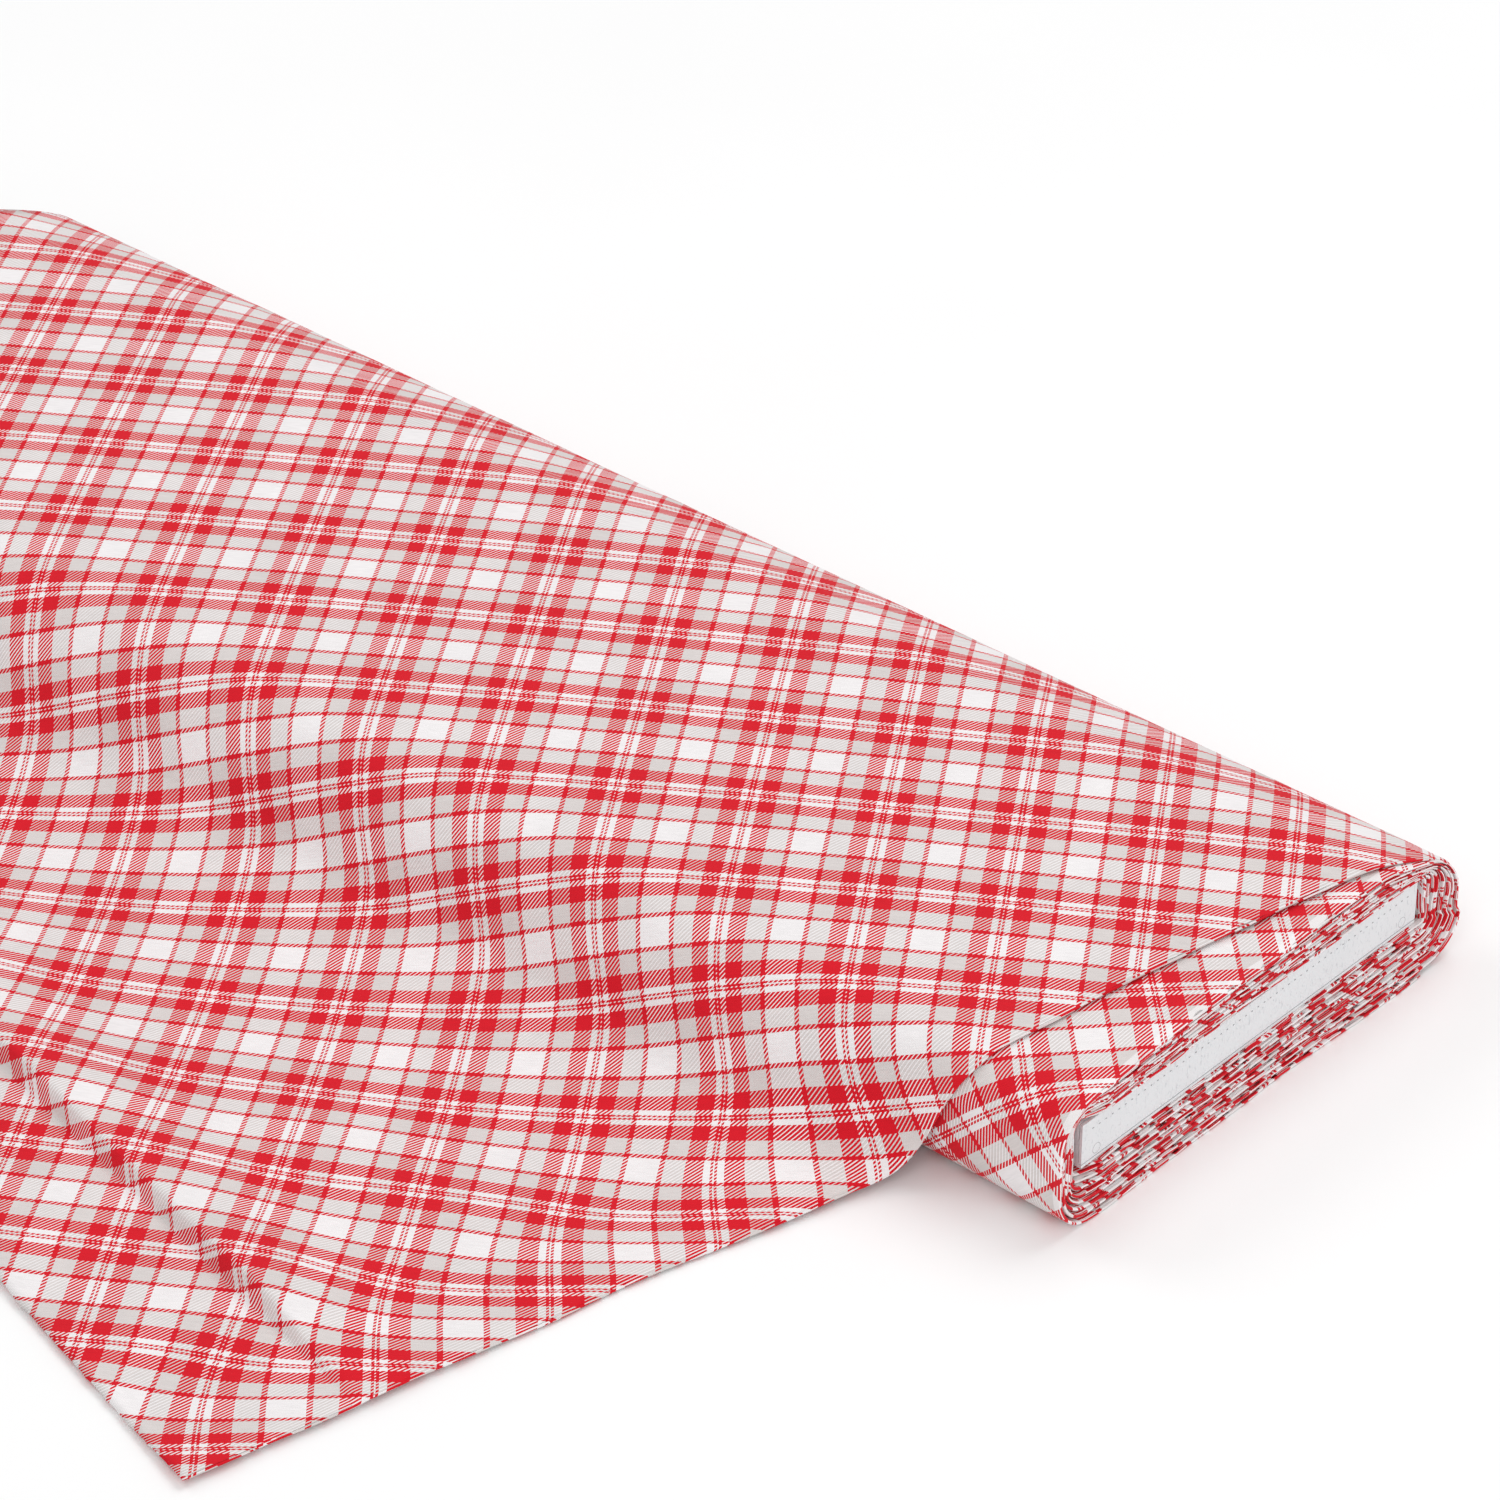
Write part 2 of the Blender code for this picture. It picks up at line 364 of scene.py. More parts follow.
def plaid_cotton(name, crossing, fold_at):
    """Yarn-like twill print.  Each thread of both sets takes the sett's colour; the two sets show in turn
    along the diagonal, two threads each, so equal colours make solid squares and unequal ones make hatching.
    Darker ink spreads a little over its neighbour, and pale threads by the fold are whitened as painted
    light."""
    desk = Desk(name)
    laid = desk.node("ShaderNodeUVMap", uv_map="laid").outputs[0]
    split = desk.node("ShaderNodeSeparateXYZ")
    desk.plug(laid, split.inputs[0])
    across = desk.maths("SUBTRACT", split.outputs[0], crossing[0])
    along = desk.maths("SUBTRACT", split.outputs[1], crossing[1])
    pace = THREADS / (math.sqrt(2.0) * REPEAT)
    warp = desk.maths("MULTIPLY", desk.maths("ADD", across, along), pace)
    weft = desk.maths("MULTIPLY", desk.maths("SUBTRACT", across, along), pace)
    warp_thread = desk.maths("FLOOR", desk.maths("ADD", warp, 0.5))
    weft_thread = desk.maths("FLOOR", desk.maths("ADD", weft, 0.5))

    # The sett over half a repeat, counted in threads from the crossing, mirrored to make the whole
    step = 2.0 / THREADS
    sett = (
        (0.0, CLOTH_WHITE),
        (0.5 * step, PRINT_RED),
        (2.5 * step, CLOTH_WHITE),
        (7.5 * step, PRINT_RED),
        (21.5 * step, CLOTH_GREY),
        (37.5 * step, PRINT_RED),
        (41.5 * step, CLOTH_WHITE),
    )
    colours = []
    for thread in (warp_thread, weft_thread):
        away = desk.maths("PINGPONG", thread, THREADS / 2.0)
        colours.append(desk.ramp(desk.maths("MULTIPLY", away, step), sett, "CONSTANT"))
    twill = desk.maths("ADD", warp, weft)
    shown = desk.maths("LESS_THAN", desk.maths("FLOORED_MODULO", twill, 4.0), 2.0)
    colour = desk.blend(shown, colours[1], colours[0])
    from_step = desk.maths("PINGPONG", twill, 1.0)
    for set_colour, ink_spread in zip(colours, INK_SPREAD):
        inked = desk.maths("LESS_THAN", from_step, ink_spread)
        colour = desk.blend(inked, colour, desk.blend(1.0, colour, set_colour, "DARKEN"))

    cloudy = desk.noise(laid, 26.0, detail=4.0, dimensions="2D")
    colour = desk.blend(1.0, colour, desk.clouded(cloudy, shade(FULL, 0.955), FULL), "MULTIPLY")

    slub_place = desk.node("ShaderNodeCombineXYZ")
    desk.plug(warp_thread, slub_place.inputs[0])
    desk.plug(desk.maths("MULTIPLY", weft, 0.08), slub_place.inputs[1])
    slub = desk.noise(slub_place.outputs[0], 0.9, dimensions="2D")
    colour = desk.blend(1.0, colour, desk.clouded(slub, shade(FULL, 0.93), FULL), "MULTIPLY")

    paleness = desk.node("ShaderNodeSeparateColor")
    desk.plug(colour, paleness.inputs[0])
    from_fold = desk.maths("ABSOLUTE", desk.maths("SUBTRACT", split.outputs[0], fold_at))
    # Painted light: pale threads close to the fold are blended towards white, standing in for light on the
    # fold's nose
    fold_painted_light = desk.maths("LESS_THAN", from_fold, FOLD_PAINTED_LIGHT_BAND)
    colour = desk.blend(desk.maths("MULTIPLY", fold_painted_light, paleness.outputs[1]), colour, CLOTH_WHITE)

    ridge = desk.maths("SINE", desk.maths("MULTIPLY", desk.maths("ADD", warp, weft), math.pi))
    rib = desk.maths("SINE", desk.maths("MULTIPLY", desk.maths("SUBTRACT", warp, weft), math.pi))
    weave = desk.maths("ADD", desk.maths("MULTIPLY", ridge, 0.6), desk.maths("MULTIPLY", rib, 0.25))
    desk.bump(desk.maths("ADD", weave, slub), 0.35, 0.00012)
    rough = desk.maths("ADD", desk.maths("MULTIPLY", cloudy, 0.12), 0.76)
    return desk.finish(
        Base_Color=colour, Roughness=rough, Sheen_Weight=0.04, Sheen_Roughness=0.5, Specular_IOR_Level=0.15
    )


def card(name, colour, fibre, roughness):
    """Pressed card: a pale field with fine stretched fibres and a slow mottle, and a faint tooth."""
    desk = Desk(name)
    place = desk.place()
    mottle = desk.noise(place, 30.0, detail=5.0)
    stretch = desk.node("ShaderNodeMapping")
    stretch.inputs["Scale"].default_value = (1.0, 1.0, 0.35)
    desk.plug(place, stretch.inputs["Vector"])
    fibres = desk.noise(stretch.outputs[0], 900.0, detail=3.0, distortion=1.2)
    tone = desk.clouded(mottle, shade(colour, 0.965), colour)
    specks = desk.ramp(fibres, ((0.28, shade(colour, fibre)), (0.42, FULL)))
    desk.bump(fibres, 0.25, 0.0001)
    rough = desk.maths("ADD", desk.maths("MULTIPLY", mottle, 0.15), roughness - 0.07)
    speckled = desk.blend(1.0, tone, specks, "MULTIPLY")
    return desk.finish(Base_Color=speckled, Roughness=rough, Specular_IOR_Level=0.35)


def plain(name, colour, roughness):
    """A faintly clouded matt finish."""
    desk = Desk(name)
    tone = desk.clouded(desk.noise(desk.place(), 400.0), shade(colour, 0.9), colour)
    return desk.finish(Base_Color=tone, Roughness=roughness)


# ---------------------------------------------------------------- the cloth's line in section


def flat_offset(flat):
    """How far the middle of a flat run lies from the board's face."""
    return FIRST_FIT + flat * TURN_PITCH / 2 + DOUBLE_THICKNESS / 2


def back_slack(flat):
    """How far the back bends stand off: the first turns hang loose of the board, the outer ones lie close."""
    return BACK_SLACK * (0.55 + 0.45 * (flat / LAST_FLAT)) + BACK_SWAY * math.sin(flat * 1.9)


def bend_line(side, first_flat):
    """Two quarter ellipses about the board's corners with a straight upright between them, as (y, z) rows."""
    upright = (flat_offset(first_flat) + flat_offset(first_flat + 1)) / 2
    if side > 0:
        upright += back_slack(first_flat)
    angles = np.linspace(0.0, np.pi / 2, BEND_STEPS + 1)
    parts = []
    for run, turned in ((first_flat, angles), (first_flat + 1, angles[::-1])):
        under = run % 2 == 0
        rise = flat_offset(run)
        corner = BOARD_BOTTOM if under else BOARD_TOP
        y = side * (BOARD_SIDE + upright * np.sin(turned))
        z = corner + (-rise if under else rise) * np.cos(turned)
        parts.append(np.column_stack((y, z)))
    middle = np.linspace(parts[0][-1], parts[1][0], UPRIGHT_STEPS)[1:-1]
    return np.concatenate((parts[0], middle, parts[1]))


def wound_line():
    """The middle line of the wound cloth, from its start under the board out to its last flat run."""
    parts = []
    runs = []
    for flat in range(LAST_FLAT + 1):
        under = flat % 2 == 0
        height = BOARD_BOTTOM - flat_offset(flat) if under else BOARD_TOP + flat_offset(flat)
        ends = (-BOARD_SIDE, BOARD_SIDE) if under else (BOARD_SIDE, -BOARD_SIDE)
        y = np.linspace(*ends, FLAT_STEPS)[1:-1]
        parts.append(np.column_stack((y, np.full(len(y), height))))
        runs.append(np.full(len(y), float(flat)))
        if flat < LAST_FLAT:
            bend = bend_line(1 if under else -1, flat)
            parts.append(bend)
            runs.append(flat + np.linspace(0.0, 1.0, len(bend)))
    return np.concatenate(parts), np.concatenate(runs)


def line_length(line):
    """The length travelled along a (y, z) line to each of its points."""
    steps = np.hypot(*np.diff(line, axis=0).T)
    return np.concatenate(([0.0], np.cumsum(steps)))


def outward(line):
    """Unit normals of a (y, z) line, away from the board: the tangent turned a quarter."""
    tangent = np.gradient(line, axis=0)
    tangent /= np.linalg.norm(tangent, axis=1)[:, None]
    return np.column_stack((tangent[:, 1], -tangent[:, 0]))


def crown(y, z):
    """The top runs' rise: half a cosine wave between the board's edges, less a smooth step down at its front,
    both in proportion to how far out the run lies."""
    share = np.clip((z - BOARD_TOP) / CROWN_DEPTH, 0.0, 1.0)
    rise = TOP_CROWN * np.cos(np.clip((y - CROWN_MIDDLE) / CROWN_HALF, -1.0, 1.0) * np.pi / 2)
    return share * (rise - FRONT_DIP * ease(-y, DIP_START, DIP_FULL))


def back_sag(y, z):
    """Height after sagging: the full sag, times a smooth step towards the back, times how far out from the
    board's back corner the point lies, times a fade down the upright part, so the back is a sloped drop."""
    behind = np.maximum(y - BOARD_SIDE, 0.0)
    above = np.maximum(z - BOARD_TOP, 0.0)
    share = np.minimum(np.hypot(behind / SAG_REACH, above / SAG_RISE), SAG_MOST)
    share = np.where(z > BOARD_TOP, share, np.minimum(behind / SAG_REACH, SAG_MOST))
    fade = np.clip((z - SAG_FOOT) / (BOARD_TOP - SAG_FOOT), 0.0, 1.0)
    return z - BACK_SAG * ease(y, SAG_START, SAG_FULL) * share * fade


# ---------------------------------------------------------------- wound cloth


def hairpin(inside, radius):
    """Stations across a folded cloth: over the outer ply to the fold, round a half circle and back under.

    Gives each station's distance from the fold, its height from -1 to 1 and its place on the open cloth."""
    turn = np.linspace(np.pi / 2, -np.pi / 2, NOSE_STEPS + 1)
    back = np.concatenate((inside, radius - radius * np.cos(turn), inside[::-1]))
    lift = np.concatenate((np.ones(len(inside)), np.sin(turn), -np.ones(len(inside))))
    inner_ply = inside[::-1] + radius * (np.pi - 2.0)
    unfolded = np.concatenate((-inside, radius * (np.pi / 2 - turn), inner_ply))
    unfolded[: len(inside)] += radius
    return back, lift, unfolded


def wound_cloth(material):
    """The roll: the folded section carried along the wound line, its fold at the right end.

    The fold and the selvedges wander in and out, and near the ends each run ripples within its own gap.
    The plies are pressed together at the back bend."""
    line, runs = wound_line()
    travelled = line_length(line)
    normal = outward(line)
    line_y, line_z = line[:, 0][:, None], line[:, 1][:, None]

    near_left = [WIDTH - inset for inset in OUTER_STATIONS]
    back, lift, unfolded = hairpin(np.array([*near_left, *INNER_STATIONS, PLY_SPREAD]), PLY_SPREAD)
    back, lift, unfolded = back[None, :], lift[None, :], unfolded[None, :]

    t = travelled[:, None]
    share = (runs / LAST_FLAT)[:, None]
    fold_x = FOLD_INNER + FOLD_GROWTH * share
    fold_x = fold_x + wander(FOLD_SWAY, t) + wander(FOLD_WAVER, t)
    at_front = ease(-line_y, BOARD_SIDE - FRONT_EASE, BOARD_SIDE + 0.001)
    at_foot = (line_z < BOARD_BOTTOM) * ease(line_y, 0.0, FOOT_FULL)
    fold_x = fold_x - FRONT_DRAW * (1.0 - share) ** 1.5 * at_front + FOOT_PUSH * share * at_foot
    outer_left = wander(LEFT_SWAY, t) + OUTER_DRAW
    stretch = np.where(lift < 0, INNER_DRAW + wander(SELVEDGE_SWAY, t), outer_left)
    x = fold_x - back
    x = x + stretch * ease(back, DRAW_START, WIDTH)

    right_share = 1.0 - ease(back, 0.0, END_REACH)
    loose = right_share + ease(back, WIDTH - END_REACH, WIDTH)
    ripple = wander(RIPPLE, t, share) * loose
    flutter = wander(FLUTTER, t, share) * loose
    puff = 1.0 + wander(PUFF, t) * loose
    offset = lift * PLY_SPREAD * puff + ripple + flutter
    pressed = ease(line_y, *PRESSED_FROM) * (line_z > BOARD_BOTTOM)
    offset = offset * (1.0 - PRESSED_SHARE * pressed)

    y = line_y + normal[:, 0][:, None] * offset
    z = line_z + normal[:, 1][:, None] * offset
    slack = ease(line_y, BOARD_SIDE, BOARD_SIDE + SLACK_EASE) * right_share * (1.0 - share) ** 2
    y = y + SLACK_WAVE * slack * np.sin((z - BOARD_BOTTOM) * SLACK_PACE + share * SLACK_SHIFT)
    z = np.maximum(back_sag(y, z) + crown(y, z), LOWEST_PLY)

    laid = np.empty((*x.shape, 2))
    laid[..., 0] = HALF_CLOTH + unfolded + wander(PRINT_DRIFT, t)
    laid[..., 0] += wander(STREAK, t) * (1.0 - ease(back, 0.0, STREAK_REACH))
    laid[..., 1] = t
    roll = surface("wound_plaid_cloth", np.stack((x, y, z), axis=-1), laid, material)
    give_thickness(roll)
    return roll, travelled[-1]


# ---------------------------------------------------------------- loose end

# The lines that the loose length follows, as (y, z): over the roll's top, then down its front at three places
TOP_RUN = ((0.100, 0.0582), (0.075, 0.0591), (0.044, 0.0597), (0.0, 0.0595), (-0.045, 0.0587))
MIDDLE_FALL = (
    (-0.0825, 0.0575), (-0.1000, 0.0560), (-0.1105, 0.0543), (-0.1180, 0.0508), (-0.1240, 0.0455),
    (-0.1300, 0.0390), (-0.1345, 0.0325), (-0.1392, 0.0245), (-0.1440, 0.0175), (-0.1505, 0.0130),
    (-0.1595, 0.0098), (-0.1700, 0.0070), (-0.1850, 0.0040), (-0.2050, 0.0020), (-0.2300, 0.0012),
)
LEFT_FALL = (
    (-0.0825, 0.0578), (-0.1000, 0.0570), (-0.1150, 0.0545), (-0.1250, 0.0505), (-0.1345, 0.0445),
    (-0.1425, 0.0375), (-0.1487, 0.0290), (-0.1545, 0.0215), (-0.1612, 0.0155), (-0.1700, 0.0112),
    (-0.1810, 0.0075), (-0.1980, 0.0042), (-0.2200, 0.0020), (-0.2500, 0.0012),
)
RIGHT_FALL = (
    (-0.0850, 0.0572), (-0.1000, 0.0562), (-0.1090, 0.0538), (-0.1160, 0.0487), (-0.1203, 0.0415),
    (-0.1216, 0.0320), (-0.1222, 0.0230), (-0.1235, 0.0140), (-0.1270, 0.0072), (-0.1335, 0.0034),
    (-0.1450, 0.0016), (-0.1700, 0.0011),
)
TABLE_END = (-0.60, 0.0011)


def smooth_line(points):
    """A (y, z) line along the points: corners are cut at a quarter of each side four times, then the line is
    spaced evenly."""
    line = np.asarray(points, dtype=float)
    for _ in range(4):
        cut = np.empty((2 * len(line) - 2, 2))
        cut[0::2] = 0.75 * line[:-1] + 0.25 * line[1:]
        cut[1::2] = 0.25 * line[:-1] + 0.75 * line[1:]
        line = np.concatenate((line[:1], cut, line[-1:]))
    length = line_length(line)
    places = np.arange(0.0, length[-1], LINE_SPACING)
    return np.column_stack([np.interp(places, length, line[:, axis]) for axis in (0, 1)])


def point_on(line, travelled):
    """The (y, z) point reached after travelling that far along a line."""
    length = line_length(line)
    return np.interp(travelled, length, line[:, 0]), np.interp(travelled, length, line[:, 1])


def right_edge(travelled):
    """Where the folded edge lies along the bolt: square at first, then drawn in by each part's travelled
    length times the tangent of its slant, least over the top and most down the fall."""
    edge = HALF_CLOTH + EDGE_OVERHANG - EDGE_AT_BACK * (1.0 - ease(travelled, *EDGE_BACK_EASE))
    for start, length, slant in EDGE_SLANTS:
        edge = edge - np.clip(travelled - start, 0.0, length) * math.tan(math.radians(slant))
    return edge - np.clip(travelled - TABLE_START, 0.0, 1.0) * math.tan(SKEW)


def clear_of_roll(y, z):
    """Moves points that fall inside the roll's front bend out to an ellipse a hair outside it."""
    reach = FIRST_FIT + (LAST_FLAT - 0.5) * TURN_PITCH / 2 + DOUBLE_THICKNESS * 1.5 + CLEAR_REACH
    rise = FIRST_FIT + (LAST_FLAT - 1) * TURN_PITCH / 2 + DOUBLE_THICKNESS * 1.5 + CLEAR_RISE
    rise = rise + crown(y, BOARD_TOP + rise)
    past = np.maximum(-y - BOARD_SIDE, 0.0)
    above = z - BOARD_TOP
    inside = np.hypot(past / reach, above / rise)
    grow = np.where((above > 0) & (inside < 1.0), 1.0 / np.maximum(inside, 0.3), 1.0)
    y = np.where(past > 0, -BOARD_SIDE - past * grow, y)
    z = np.where(above > 0, BOARD_TOP + above * grow, z)
    beside = (past > 0) & (above <= 0) & (z > BOARD_BOTTOM)
    y = np.where(beside, np.minimum(y, -BOARD_SIDE - reach), y)
    return y, z


def table_waves(x, y, before):
    """Height of the loose part's waves on the table: one ridge along a row of the cloth, gentle before it and
    steep after it, dying out towards its two ends, and a faint swell."""
    gentle = (1.0 - ease(before, 0.0, RIDGE_BEFORE)) ** 1.3
    steep = ease(before, -RIDGE_AFTER, 0.0)
    reach = ease(x, *RIDGE_LEFT) * (1.0 - ease(x, *RIDGE_RIGHT))
    uneven = 1.0 + RIDGE_UNEVEN * np.sin(x * RIDGE_PACE)
    ridge = RIDGE_HEIGHT * gentle * steep * reach * uneven
    drift = soft_noise(SWELL_SEED, x * 4.0, y * 5.0, octaves=2)
    swell = SWELL_HEIGHT * (1.0 + drift) * ease(-y, *SWELL_FROM)
    return ridge + np.maximum(swell, 0.0)


def laid_print(x, y, z, travelled, lift, unfolded, fold_station):
    """The loose cloth's place on the flat print: its own travelled length and its place along the bolt,
    turned by the skew and drawn a little on the bias over the roll.  The inner ply follows on at the fold."""
    steps = np.hypot(np.diff(y, axis=0), np.diff(z, axis=0))
    level = int(np.argmin(np.abs(travelled.mean(axis=1) - LEVEL_WITH)))
    developed = np.concatenate((np.zeros((1, x.shape[1])), np.cumsum(steps, axis=0)))
    developed = developed - developed[level][None, :] + travelled[level][None, :]
    laid = np.empty((*x.shape, 2))
    laid[..., 0] = x * math.cos(SKEW) + developed * math.sin(SKEW)
    laid[..., 1] = -x * math.sin(SKEW) + developed * math.cos(SKEW)
    drawn = (laid[..., 0] + laid[..., 1] - LOOSE_CROSSING[0] - LOOSE_CROSSING[1]) / 2
    pulled = drawn * BIAS_STRETCH * (1.0 - ease(developed, *BIAS_END))
    laid = laid - np.stack((pulled + drawn * BIAS_LEAN, pulled - drawn * BIAS_LEAN), axis=-1)
    edge = laid[:, fold_station : fold_station + 1, 0]
    laid[..., 0] = np.where(lift < 0.999, edge + np.maximum(unfolded, 0.0), laid[..., 0])
    return laid


def loose_end(material):
    """The loose length.  Its section over the roll blends three lines, right, middle and left, by place along
    the bolt; rows fan from square across the back edge to the askew square-cut end; one ridge lies across the
    table part.  The folded section gives two plies with the fold along the right edge."""
    back_line = bend_line(1, LAST_FLAT)
    back_line[:, 1] = np.maximum(back_line[:, 1], WRAP_LOWEST)
    wrap = line_length(back_line)[-1]
    right_end = LOOSE_LENGTH * math.cos(SKEW)
    left_end = right_end - WIDTH * math.sin(SKEW)

    crowded = np.linspace(0.0, 1.0, FOLD_COLUMNS)[1:] ** FOLD_CROWDING
    columns = np.concatenate((
        np.linspace(0.0, COLUMN_BREAK, EVEN_COLUMNS),
        COLUMN_BREAK + crowded * (1.0 - COLUMN_BREAK),
    ))
    inside = (1.0 - columns) * WIDTH
    inside[-1] = PLY_SPREAD
    back, lift, unfolded = hairpin(inside, PLY_SPREAD)
    back, lift, unfolded = back[None, :], lift[None, :], unfolded[None, :]
    share = 1.0 - back / WIDTH

    wrap_rows = np.linspace(-wrap, 0.0, WRAP_ROWS)[:-1] / wrap
    rows = np.concatenate((wrap_rows, *(np.linspace(*band)[:-1] for band in ROW_BANDS), [1.0]))[:, None]
    behind = rows < 0
    end = left_end + (right_end - left_end) * share
    end = end + wander(CUT_WAVER, share) - HEM_STEP * (lift < 0)
    travelled = np.where(behind, rows * wrap, rows * end)

    span = WIDTH + (WIDTH / math.cos(SKEW) - WIDTH) * ease(travelled, *SPAN_EASE)
    x = right_edge(travelled) - back * span / WIDTH
    x = x - UNDER_DRAW * (lift < 0) * ease(back, UNDER_START, WIDTH)
    x = x + wander(LEFT_END_SWAY, travelled) * ease(share, *LEFT_END_EASE)

    to_right = ease(x, *RIGHT_BLEND)
    to_left = 1.0 - ease(x, *LEFT_BLEND)
    ahead = np.maximum(travelled, 0.0)
    y = z = 0.0
    for fall, weight in (
        (MIDDLE_FALL, (1 - to_right) * (1 - to_left)), (RIGHT_FALL, to_right), (LEFT_FALL, to_left)
    ):
        fall_y, fall_z = point_on(smooth_line(TOP_RUN + fall + (TABLE_END,)), ahead)
        y = y + fall_y * weight
        z = z + fall_z * weight
    clear_y, clear_z = clear_of_roll(y, z)
    wrap_y, wrap_z = point_on(back_line, np.minimum(travelled, 0.0) + wrap)
    y = np.where(behind, wrap_y, clear_y)
    z = back_sag(y, np.where(behind, wrap_z, clear_z))
    z = z + table_waves(x, y, (RIDGE_ROW - rows) * end) * ease(rows, *WAVES_EASE)

    step_y = np.gradient(y, axis=0)
    step_z = np.gradient(z, axis=0)
    size = np.hypot(step_y, step_z) + 1e-9
    offset = lift * PLY_SPREAD * (1.0 + wander(PLY_PUFF, x, travelled))
    y = y + step_z / size * offset
    z = np.maximum(z - step_y / size * offset, LOWEST_PLY + PLY_SPREAD * (lift + 1.0))

    laid = laid_print(x, y, z, travelled, lift, unfolded, len(inside) - 1)
    loose = surface("loose_plaid_cloth", np.stack((x, y, z), axis=-1), laid, material)
    give_thickness(loose)
    return loose


# ---------------------------------------------------------------- board details


def ring(name, centre, material):
    """A punched circle's raised edge: a section half as deep as wide, carried round a circle facing X."""
    around = np.linspace(0.0, 2 * np.pi, 41)[:, None]
    section = np.linspace(0.0, 2 * np.pi, 9)[None, :]
    reach = PUNCH_RADIUS + PUNCH_WIRE * np.cos(section)
    points = np.stack(
        (
            centre[0] - PUNCH_WIRE * 0.5 * np.sin(section) + 0.0 * around,
            centre[1] + reach * np.cos(around),
            centre[2] + reach * np.sin(around),
        ),
        axis=-1,
    )
    laid = np.zeros((*points.shape[:2], 2))
    laid[..., 0] = around * PUNCH_RADIUS
    laid[..., 1] = section * PUNCH_WIRE
    return surface(name, points, laid, material)


def perforations(name, end_x, direction, material):
    """Perforations as painted shade: a row of flat dark eight-sided patches, longer than high, in front of
    the flap.
    """
    row_half = BOARD_SIDE - PERFORATION_INSET
    middles = np.linspace(-row_half, row_half, PERFORATIONS)
    turn = np.linspace(0.0, 2 * np.pi, 9)[:-1]
    rim_y = middles[:, None] + PERFORATION_HALF[0] * np.cos(turn)[None, :]
    rim_z = BOARD_TOP - PERFORATION_DROP + PERFORATION_HALF[1] * np.sin(turn)[None, :] + 0.0 * rim_y
    rim = np.stack((np.full_like(rim_y, end_x + direction * PERFORATION_STAND), rim_y, rim_z), axis=-1)
    index = np.arange(PERFORATIONS * 8).reshape(PERFORATIONS, 8)
    faces = index if direction > 0 else index[:, ::-1]
    mesh = bpy.data.meshes.new(name)
    mesh.from_pydata(rim.reshape(-1, 3).tolist(), [], faces.tolist())
    return put_in_scene(name, mesh, material)


# ---------------------------------------------------------------- build

wound_print = plaid_cotton("plaid_cotton_wound", WOUND_CROSSING, HALF_CLOTH)
loose_print = plaid_cotton("plaid_cotton_loose", LOOSE_CROSSING, NO_FOLD)
white_card = card("white_card_lined", (0.79, 0.80, 0.815), 0.965, 0.55)
grey_card = card("grey_card_raw", (0.50, 0.48, 0.44), 0.85, 0.75)
# Painted shade: the perforation slits are drawn as flat dark grey patches
slit_painted_shade = plain("perforation_painted_shade", (0.30, 0.30, 0.31), 0.8)
ring_grey = plain("punched_edge", (0.48, 0.48, 0.49), 0.7)

roll, wound_length = wound_cloth(wound_print)
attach(roll, "cloth")
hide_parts("wound_cloth")

loose = loose_end(loose_print)
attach(loose, "cloth")
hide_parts("free_end")

for node in ("board_wrap", "right_end_flap", "right_tuck_tongue", "left_end_flap", "left_tuck_tongue"):
    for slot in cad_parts[node].material_slots:
        slot.material = white_card
for node in ("front_stiffener", "back_stiffener"):
    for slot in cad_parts[node].material_slots:
        slot.material = grey_card

for label, direction in (("right", 1), ("left", -1)):
    face_x = direction * BOARD_END
    dots = perforations(f"{label}_crease_perforations", face_x, direction, slit_painted_shade)
    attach(dots, f"{label}_flap")
    for place, side in (("front", -1), ("back", 1)):
        centre = (face_x, side * (BOARD_SIDE - PUNCH_INSET), BOARD_TOP - PUNCH_DROP)
        punched = ring(f"{label}_{place}_punched_ring", centre, ring_grey)
        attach(punched, f"{label}_flap")


# ---------------------------------------------------------------- studio

FLOOR_HALF = 6.0
KEY_AIM = (0.0, -0.1, 0.0)
WORLD_STRENGTH = 0.56
SENSOR_WIDTH = 36.0
LENS_LENGTH = 124.93
VIEW_PLACE = (1.2456, -1.2533, 1.1617)
VIEW_DOWN = 33.77
VIEW_TURN = 131.795


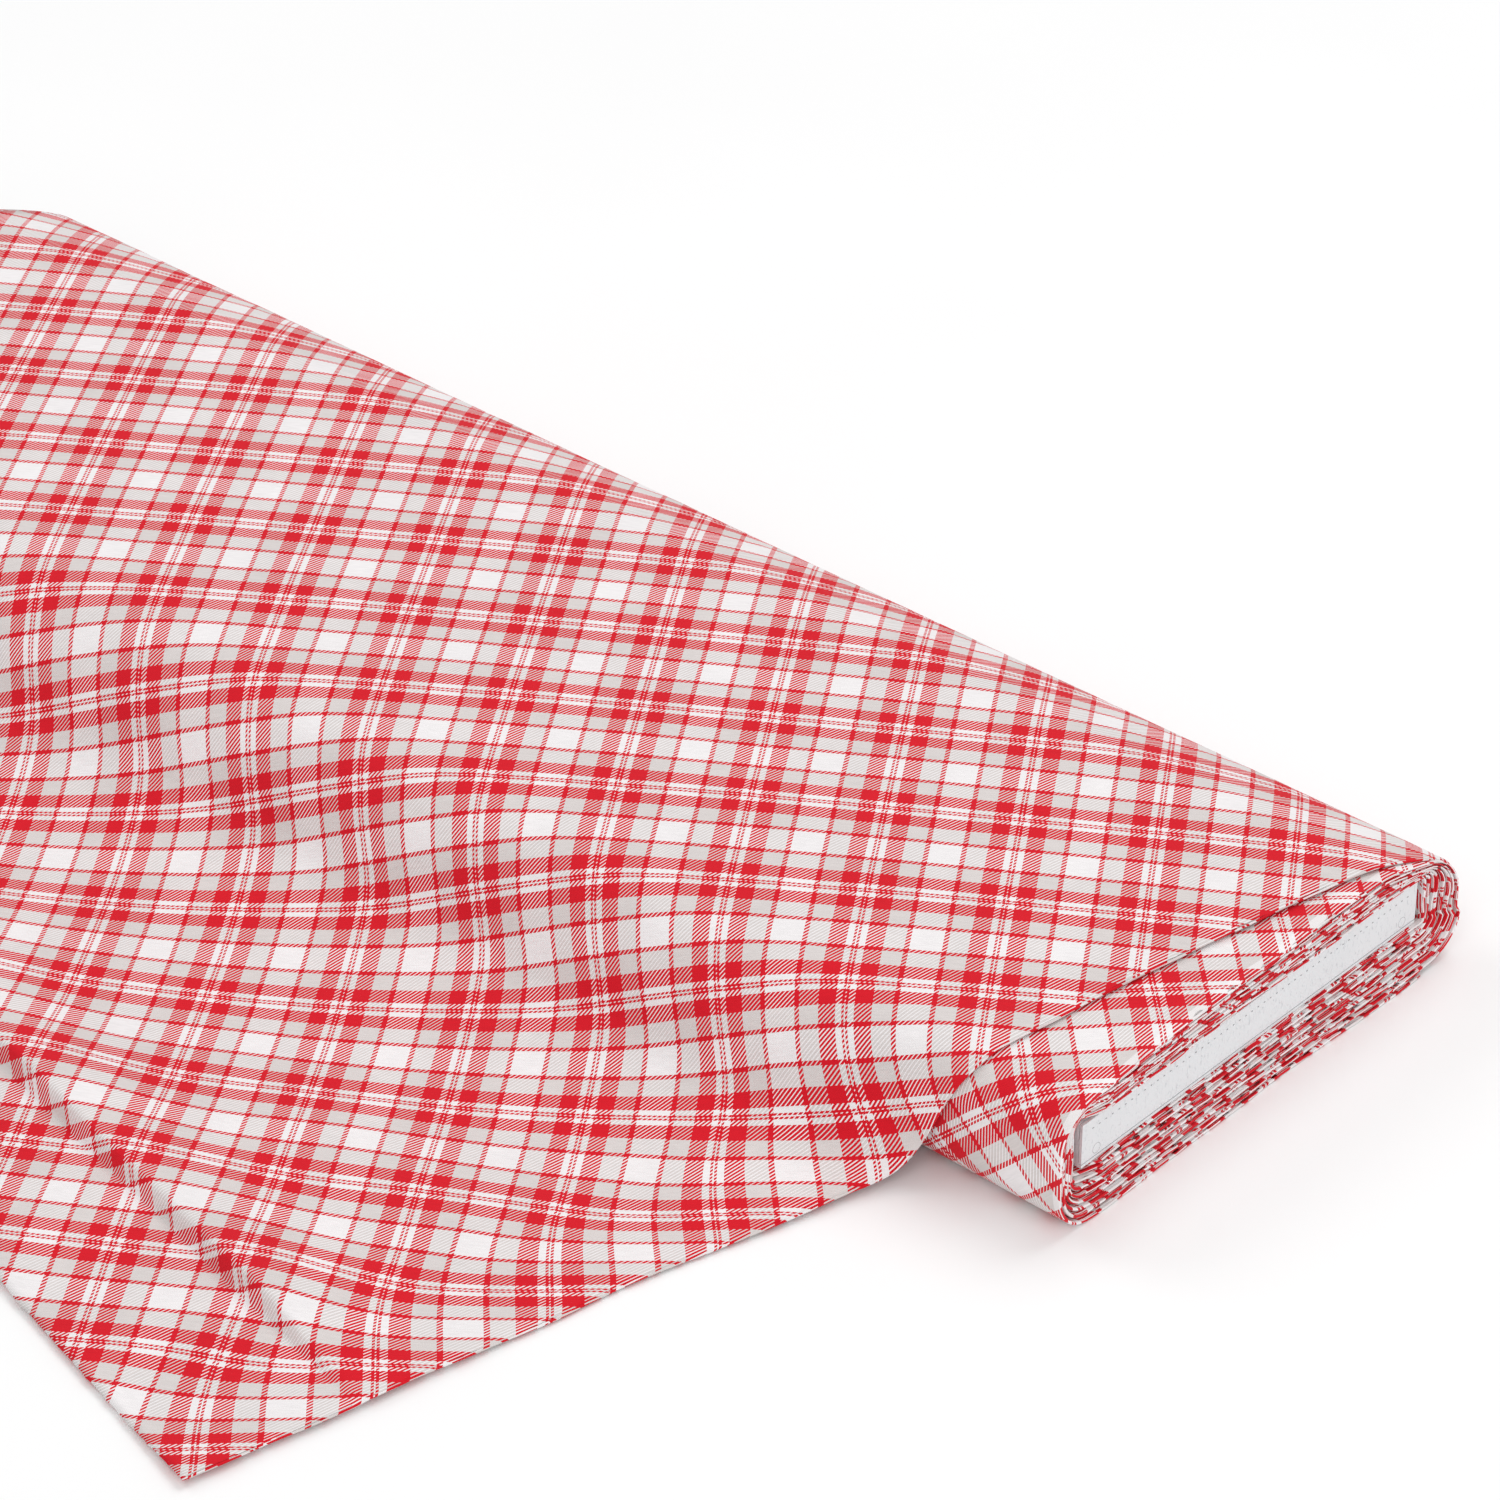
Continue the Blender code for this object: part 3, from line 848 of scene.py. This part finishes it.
def floor():
    """A wide flat table top, a shallow grid whose rim is far out of sight."""
    side = np.linspace(-FLOOR_HALF, FLOOR_HALF, 5)
    x, y = np.meshgrid(side, side)
    points = np.stack((x, y, np.full_like(x, -TABLE_GAP)), axis=-1)
    desk = Desk("table_white")
    tone = desk.clouded(desk.noise(desk.place(), 3.0), shade(FULL, 0.93), shade(FULL, 0.95))
    table_white = desk.finish(Base_Color=tone, Roughness=0.9, Specular_IOR_Level=0.1)
    return surface("table_top", points, np.stack((x, y), axis=-1), table_white)


floor()


def soft_light(name, place, target, size, power):
    """A round soft lamp at a place, turned to face its target."""
    lamp = bpy.data.lights.new(name, "AREA")
    lamp.shape = "DISK"
    lamp.size = size
    lamp.energy = power
    lit = bpy.data.objects.new(name, lamp)
    aim = np.asarray(target) - np.asarray(place)
    lit.location = place
    lit.rotation_euler = (
        math.acos(-aim[2] / np.linalg.norm(aim)),
        0.0,
        math.atan2(aim[1], aim[0]) - math.pi / 2,
    )
    bpy.context.scene.collection.objects.link(lit)


soft_light("key_softbox", (1.4, -2.2, 2.6), KEY_AIM, 2.2, 21.0)
soft_light("left_softbox", (-2.4, -0.6, 2.4), KEY_AIM, 2.0, 18.0)
soft_light("back_softbox", (0.2, 1.5, 2.9), (0.0, 0.0, 0.0), 2.4, 34.0)
soft_light("right_softbox", (2.6, -0.5, 1.1), (0.3, 0.0, 0.03), 1.6, 13.0)

world = bpy.data.worlds.new("studio_white")
bpy.context.scene.world = world
world.use_nodes = True
background = world.node_tree.nodes["Background"]
background.inputs[0].default_value = (1.0, 1.0, 1.0, 1.0)
background.inputs[1].default_value = WORLD_STRENGTH

lens = bpy.data.cameras.new("view_camera")
lens.sensor_width = SENSOR_WIDTH
lens.lens = LENS_LENGTH
lens.clip_start = 0.05
lens.clip_end = 50.0
camera = bpy.data.objects.new("view_camera", lens)
camera.location = VIEW_PLACE
camera.rotation_euler = (math.radians(90.0 - VIEW_DOWN), 0.0, math.radians(VIEW_TURN - 90.0))
bpy.context.scene.collection.objects.link(camera)
bpy.context.scene.camera = camera

bpy.context.scene.view_settings.view_transform = "Standard"
